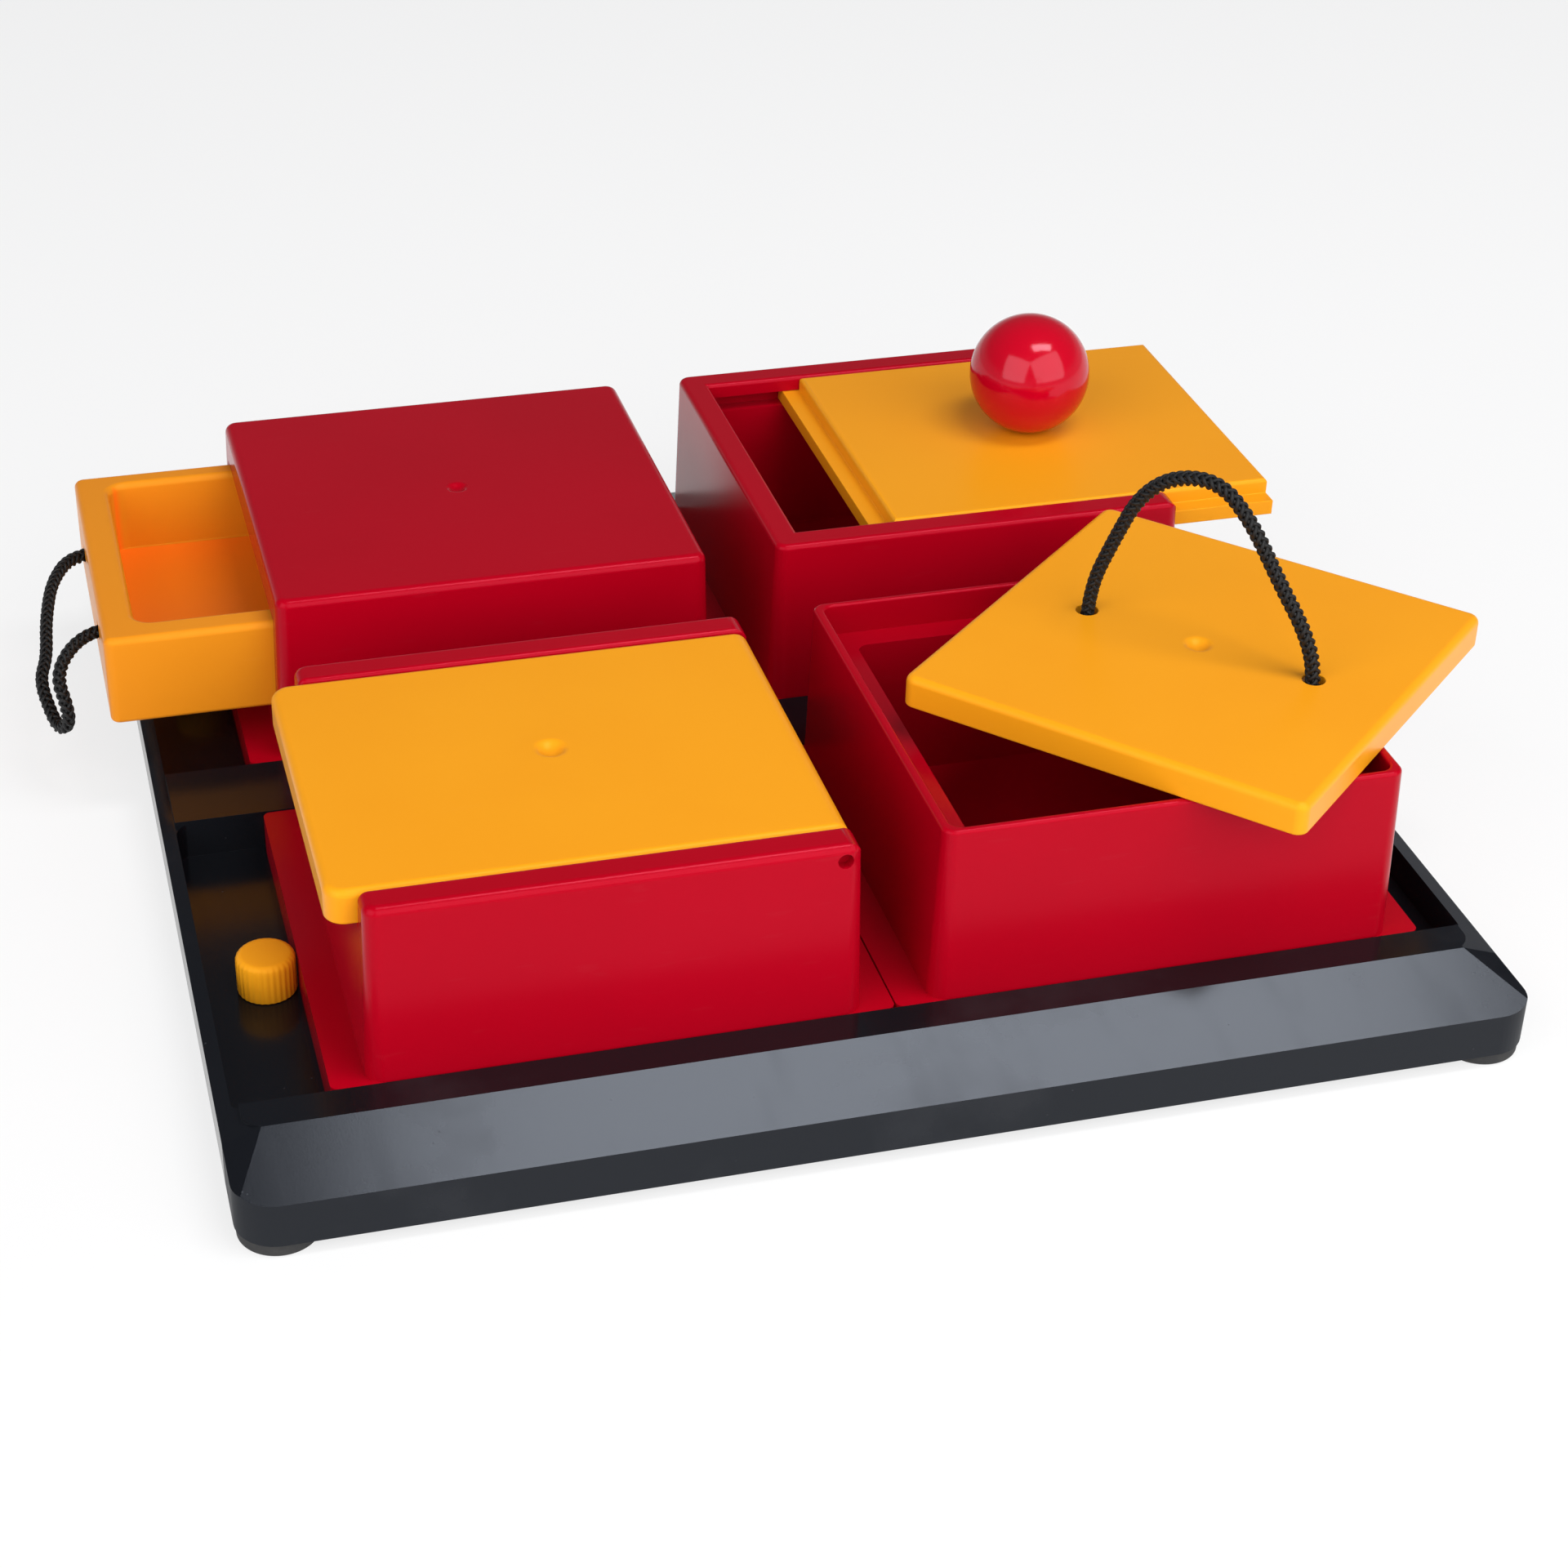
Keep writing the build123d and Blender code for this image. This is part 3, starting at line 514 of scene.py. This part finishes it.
# Node, piece, material, body, slot and the width in metres of its rounded edges.
MOULDINGS = (
    ("tray", "tray_moulding", tray_plastic, "base", "tray_plastic", 0.0009),
    ("flap_box", "flap_box_moulding", red_plastic, "base", "red_plastic", 0.0007),
    ("lift_box", "lift_box_moulding", red_plastic, "base", "red_plastic", 0.0007),
    ("drawer_box", "drawer_box_moulding", red_plastic, "base", "red_plastic", 0.0007),
    ("slide_box", "slide_box_moulding", red_plastic, "base", "red_plastic", 0.0007),
    ("flap_lid", "flap_moulding", lid_plastic, "flap", "lid_plastic", 0.0005),
    ("lift_lid", "lift_lid_moulding", lid_plastic, "lift", "lid_plastic", 0.0005),
    ("sliding_lid", "slide_lid_moulding", lid_plastic, "slider", "lid_plastic", 0.0006),
    ("drawer", "drawer_moulding", drawer_plastic, "pull_drawer", "drawer_plastic", 0.0006),
)
for moulding in MOULDINGS:
    softened(*moulding)
for corner in ("front_left", "front_right", "back_left", "back_right"):
    finish_node("foot_" + corner, rubber)
finish_node("hinge_pin", red_plastic)
finish_node("knob_screw", steel)

# %% [markdown]
# ## The lock knobs
#
# A turned profile makes each knob: a straight side, a soft shoulder and a top that is very
# slightly domed. It is drawn once as a chain of edges and spun round. Then the side gets thirty
# shallow flutes: each point moves in a little, as a wave round the knob, and the wave fades out
# over the shoulder. A stem and a crossbar hold the knob under the tray's floor.

# %% Turn and flute the lock knobs
KNOB_X = -136.5         # this and the lengths below in millimetres
KNOB_RADIUS = 7.3
SHOULDER = 1.8
FLUTES = 30
STEPS_PER_FLUTE = 6
FLUTE_DEPTH = 0.14
STEM_RADIUS, STEM_LENGTH, STEM_MIDDLE = 3.0, 2.8, 2.2
BAR_SIZE, BAR_MIDDLE = Vector((4.6, 12.0, 1.6)), 0.1


def knob_profile():
    """Radius and height in millimetres, from the knob's foot to the middle of its top."""
    flat = KNOB_RADIUS - SHOULDER
    points = [(0.0, 3.6), (6.7, 3.6), (7.1, 3.75), (KNOB_RADIUS, 4.2), (KNOB_RADIUS, 11.6)]
    for step in range(1, 7):
        corner = radians(15 * step)
        points.append((flat + SHOULDER * cos(corner), 12.3 + SHOULDER * sin(corner)))
    return points + [(3.6, 14.2), (1.8, 14.27), (0.0, 14.3)]


def fluted_knob(row, y):
    """The lock knob of one row of boxes, at y millimetres from the tray's middle line."""
    middle = at(KNOB_X, y, 0)
    bm = bmesh.new()
    chain = [bm.verts.new(at(KNOB_X + radius, y, z)) for radius, z in knob_profile()]
    edges = [bm.edges.new(pair) for pair in zip(chain, chain[1:])]
    bmesh.ops.spin(
        bm, geom=chain + edges, cent=middle, axis=(0, 0, 1), angle=2 * pi,
        steps=FLUTES * STEPS_PER_FLUTE, use_merge=True,
    )
    bmesh.ops.remove_doubles(bm, verts=bm.verts, dist=MERGE)
    for vertex in bm.verts:
        spoke = Vector((vertex.co.x - middle.x, vertex.co.y - middle.y, 0))
        radius = spoke.length * 1000
        if radius > KNOB_RADIUS - SHOULDER:
            wave = 0.5 - 0.5 * cos(FLUTES * atan2(spoke.y, spoke.x))
            depth = FLUTE_DEPTH * (radius - KNOB_RADIUS + SHOULDER) / SHOULDER
            vertex.co -= spoke * (depth * wave / radius)
    bmesh.ops.recalc_face_normals(bm, faces=bm.faces)
    bmesh.ops.create_cone(
        bm, cap_ends=True, segments=32, radius1=STEM_RADIUS / 1000, radius2=STEM_RADIUS / 1000,
        depth=STEM_LENGTH / 1000, matrix=Matrix.Translation(at(KNOB_X, y, STEM_MIDDLE)),
    )
    bar = Matrix.Diagonal((*(BAR_SIZE / 1000), 1))
    bmesh.ops.create_cube(bm, size=1.0, matrix=Matrix.Translation(at(KNOB_X, y, BAR_MIDDLE)) @ bar)
    piece = new_piece(bm, row + "_lock", knob_plastic, row + "_lock")
    shade_smooth(piece.data)
    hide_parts(row + "_lock_knob")
    print(piece.name, len(piece.data.polygons), "faces")


fluted_knob("front", -64.25)
fluted_knob("back", 78.45)

# %% [markdown]
# ## The ball knob
#
# A polished ball is the one part where every facet would show in its highlight. It starts as a
# fine sphere of rings and is cut flat where it stands on the lid. The flat seat hides the screw
# that holds it.

# %% Turn the ball
BALL_RADIUS = 0.0170
BALL_MIDDLE = at(104.4, 78.7, 77.1)
LID_TOP = at(0, 0, 60.4).z

bm = bmesh.new()
bmesh.ops.create_uvsphere(
    bm, u_segments=96, v_segments=64, radius=BALL_RADIUS, matrix=Matrix.Translation(BALL_MIDDLE)
)
cut = bmesh.ops.bisect_plane(
    bm, geom=bm.verts[:] + bm.edges[:] + bm.faces[:], dist=MERGE,
    plane_co=(0, 0, LID_TOP), plane_no=(0, 0, -1), clear_outer=True,
)
rim = [part for part in cut["geom_cut"] if isinstance(part, bmesh.types.BMEdge)]
bmesh.ops.edgeloop_fill(bm, edges=rim)
bmesh.ops.recalc_face_normals(bm, faces=bm.faces)
ball = new_piece(bm, "ball", ball_plastic, "slider")
shade_smooth(ball.data)
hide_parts("ball_knob")
print("ball", len(ball.data.polygons), "faces")

# %% [markdown]
# ## Braided cord
#
# Eight thick yarns make the cord: four wind to the left and four to the right, and each goes over
# two and under two of the others, which gives the small arrowheads that run along the rope. A
# yarn is a thin round curve whose distance from the middle rises and falls as it goes over and
# under. To wind round a bending rope without twisting, the sideways direction is carried along
# the line from point to point, turned only as the line itself turns. Each end is tied in an
# overhand knot, which is a trefoil loop: the same braid follows it, pulled tight and therefore
# thinner.

# %% Lay the yarns
YARNS = 4               # in each direction
STEPS_PER_CROSSING = 4
LIFT_CORD, DRAWER_CORD = 0.0043, 0.0042
CORD_PITCH = 0.0078     # metres along the rope for one whole turn of a yarn
LIFT_KNOT_CORD, LIFT_KNOT_PITCH = 0.0027, 0.0052
DRAWER_KNOT_CORD, DRAWER_KNOT_PITCH = 0.0022, 0.0044
LIFT_KNOT_SHAPE = (0.00095, 0.00145)        # metres: how far its loops reach, how high it rises
DRAWER_KNOT_SHAPE = (0.00100, 0.00100)      # flatter, because it is pressed inside a wall


def frames_along(line, step):
    """Evenly spaced places on a line, each with two directions across it that never twist."""
    travelled, places = 0.0, [line[0]]
    for a, b in zip(line, line[1:]):
        run = (b - a).length
        while travelled + run >= step * len(places) and run > 0:
            places.append(a.lerp(b, (step * len(places) - travelled) / run))
        travelled += run
    along = [(b - a).normalized() for a, b in zip(places, places[1:])]
    along.append(along[-1])
    across = along[0].orthogonal().normalized()
    frames = []
    for place, way in zip(places, along):
        across = (across - way * across.dot(way)).normalized()
        frames.append((place, across, way.cross(across)))
    return frames


def braided(lines, diameter, pitch, name, body):
    """A hollow braid along each of the lines, as one mesh."""
    yarn_radius = diameter * 0.125
    middle = diameter * 0.265
    rise = diameter * 0.070
    crossing = pitch / (2 * YARNS)
    data = bpy.data.curves.new(name, "CURVE")
    data.dimensions = "3D"
    data.bevel_depth = yarn_radius
    data.bevel_resolution = 2
    data.use_fill_caps = True
    for line in lines:
        frames = frames_along(line, crossing / STEPS_PER_CROSSING)
        for hand, yarn_number in product((1, -1), range(YARNS)):
            spline = data.splines.new("POLY")
            spline.points.add(len(frames) - 1)
            for i, (place, across, over) in enumerate(frames):
                crossings = i / STEPS_PER_CROSSING
                turn = hand * pi * crossings / YARNS + 2 * pi * yarn_number / YARNS
                wave = cos(pi / 2 * (crossings + hand * 2 * yarn_number) + hand * pi / 4)
                out = middle + hand * rise * wave
                spline.points[i].co = (*(place + out * (cos(turn) * across + sin(turn) * over)), 1)
    source = bpy.data.objects.new(name, data)
    bpy.context.scene.collection.objects.link(source)
    mesh = mesh_of(source)
    mesh.name = name
    bpy.data.objects.remove(source)
    bpy.data.curves.remove(data)
    mesh.polygons.foreach_set("use_smooth", [True] * len(mesh.polygons))
    piece = new_piece(mesh, name, yarn, body)
    print(name, len(mesh.polygons), "faces along", len(lines), "lines")
    return piece


def trefoil(middle, up, side, loop, rise):
    """The line of an overhand knot pulled tight: its loops reach out, its strands rise and dip."""
    third, line = up.cross(side), []
    for step in range(361):
        turn = radians(step)
        out = (sin(turn) + 2 * sin(2 * turn)) * side + (cos(turn) - 2 * cos(2 * turn)) * third
        line.append(middle + loop * out - rise * sin(3 * turn) * up)
    return line


UP, LEFT, BACK = Vector((0, 0, 1)), Vector((-1, 0, 0)), Vector((0, 1, 0))
lift_ends = [trefoil(on_lid(*LIFT_ROUTE[i]), UP, LEFT, *LIFT_KNOT_SHAPE) for i in (0, -1)]
lift_knots = braided(lift_ends, LIFT_KNOT_CORD, LIFT_KNOT_PITCH, "lift_knots", "lift")
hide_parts("lift_rope_knots")
drawer_ends = [trefoil(at(*DRAWER_ROUTE[i]), LEFT, BACK, *DRAWER_KNOT_SHAPE) for i in (0, -1)]
drawer_knots = braided(
    drawer_ends, DRAWER_KNOT_CORD, DRAWER_KNOT_PITCH, "drawer_knots", "pull_drawer"
)
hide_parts("drawer_rope_knots")

lift_braid = braided([lift_line], LIFT_CORD, CORD_PITCH, "lift_rope_braid", "lift")
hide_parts("lift_rope")
drawer_braid = braided(
    [drawer_line], DRAWER_CORD, CORD_PITCH, "drawer_rope_braid", "pull_drawer"
)
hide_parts("drawer_rope")

# %% [markdown]
# ## Floor and light
#
# Two big softboxes stand left and right of the camera, so that every rounded edge carries a
# smooth bright line and the ball shows two windows. A panel hangs overhead, where only the tray's
# sloping front ledge mirrors it. The room above is dim, which keeps the reds deep, and pales
# towards the horizon. Lamps stay at a level at which a colour shows about as it is written.

# %% Lay the floor and hang the lamps
FLOOR_GLOW = 0.74       # the share of the floor's own white in what looks straight at it


def pale_floor():
    """Pale paper: what looks at it directly or in a mirror finds it white, but for the shadow."""
    finish = Finish("pale floor")
    colour = finish.blend(finish.noise(3, 2), (0.86, 0.86, 0.86), (0.89, 0.89, 0.89))
    finish.set(base_color=colour, roughness=0.7 + finish.noise(8, 2) * 0.1)
    glow = finish.tree.nodes.new("ShaderNodeEmission")
    glow.inputs["Strength"].default_value = 1.0
    seen = finish.node("LightPath", output="Is Camera Ray")
    mirrored = finish.node("LightPath", output="Is Glossy Ray")
    through = finish.node("LightPath", output="Is Transmission Ray")
    lit = finish.tree.nodes.new("ShaderNodeMixShader")
    finish.feed(lit.inputs["Fac"], (seen + mirrored + through) * FLOOR_GLOW)
    result = finish.tree.nodes["Material Output"]
    finish.tree.links.new(finish.shader.outputs[0], lit.inputs[1])
    finish.tree.links.new(glow.outputs[0], lit.inputs[2])
    finish.tree.links.new(lit.outputs[0], result.inputs["Surface"])
    return finish.material


bm = bmesh.new()
bmesh.ops.create_grid(bm, x_segments=8, y_segments=8, size=6.0)
floor_mesh = bpy.data.meshes.new("floor")
bm.to_mesh(floor_mesh)
bm.free()
floor_mesh.materials.append(pale_floor())
floor = bpy.data.objects.new("floor", floor_mesh)
bpy.context.scene.collection.objects.link(floor)


def softbox(name, place, target, size, radiance):
    """A rectangular area lamp that faces the target."""
    data = bpy.data.lights.new(name, "AREA")
    data.shape = "RECTANGLE"
    data.size, data.size_y = size
    data.energy = radiance * pi * size[0] * size[1]
    lamp = bpy.data.objects.new(name, data)
    bpy.context.scene.collection.objects.link(lamp)
    lamp.location = place
    lamp.rotation_mode = "QUATERNION"
    lamp.rotation_quaternion = (Vector(target) - Vector(place)).to_track_quat("-Z", "Y")
    print(name, "measures", [round(side, 2) for side in size], "m at", round(data.energy, 1), "W")


def toward(azimuth, elevation, distance):
    """A place seen from the tray in a direction: azimuth from the back, clockwise, in degrees."""
    azimuth, elevation = radians(azimuth), radians(elevation)
    level = distance * cos(elevation)
    return (level * sin(azimuth), level * cos(azimuth), distance * sin(elevation))


def wide(degrees_across, distance):
    """The width that fills so many degrees of the view at a distance."""
    return 2 * distance * tan(radians(degrees_across / 2))


def hang(name, azimuth, elevation, across, high, radiance, distance=1.5):
    """A softbox that fills so many degrees of the tray's view, at a brightness of its own."""
    size = (wide(across, distance), wide(high, distance))
    softbox(name, toward(azimuth, elevation, distance), (0, 0, 0.05), size, radiance)


hang("left softbox", -128, 31, 48, 46, 2.55)
hang("right softbox", 155, 33, 60, 48, 2.55)
softbox("overhead panel", (0.43, -0.35, 1.42), (0.43, -0.35, 0.0), (0.86, 0.34), 10.5)

HORIZON_TOP, ROOM_BOTTOM = 4, 20     # degrees between which the pale horizon fades into the room
world = bpy.data.worlds.new("room")
bpy.context.scene.world = world
world.use_nodes = True
tree = world.node_tree
tree.nodes.clear()
direction = tree.nodes.new("ShaderNodeTexCoord")
parts = tree.nodes.new("ShaderNodeSeparateXYZ")
height = tree.nodes.new("ShaderNodeMapRange")
height.interpolation_type = "SMOOTHSTEP"
height.inputs["From Min"].default_value = sin(radians(HORIZON_TOP))
height.inputs["From Max"].default_value = sin(radians(ROOM_BOTTOM))
colour = tree.nodes.new("ShaderNodeMix")
colour.data_type = "RGBA"
colour.inputs[6].default_value = (0.42, 0.43, 0.46, 1)
colour.inputs[7].default_value = (0.13, 0.135, 0.15, 1)
room = tree.nodes.new("ShaderNodeBackground")
result = tree.nodes.new("ShaderNodeOutputWorld")
tree.links.new(direction.outputs["Generated"], parts.inputs[0])
tree.links.new(parts.outputs["Z"], height.inputs["Value"])
tree.links.new(height.outputs["Result"], colour.inputs["Factor"])
tree.links.new(colour.outputs[2], room.inputs["Color"])
tree.links.new(room.outputs[0], result.inputs["Surface"])
bpy.context.scene.view_settings.view_transform = "Standard"
print("floor, three softboxes and a dim room that pales towards the horizon")
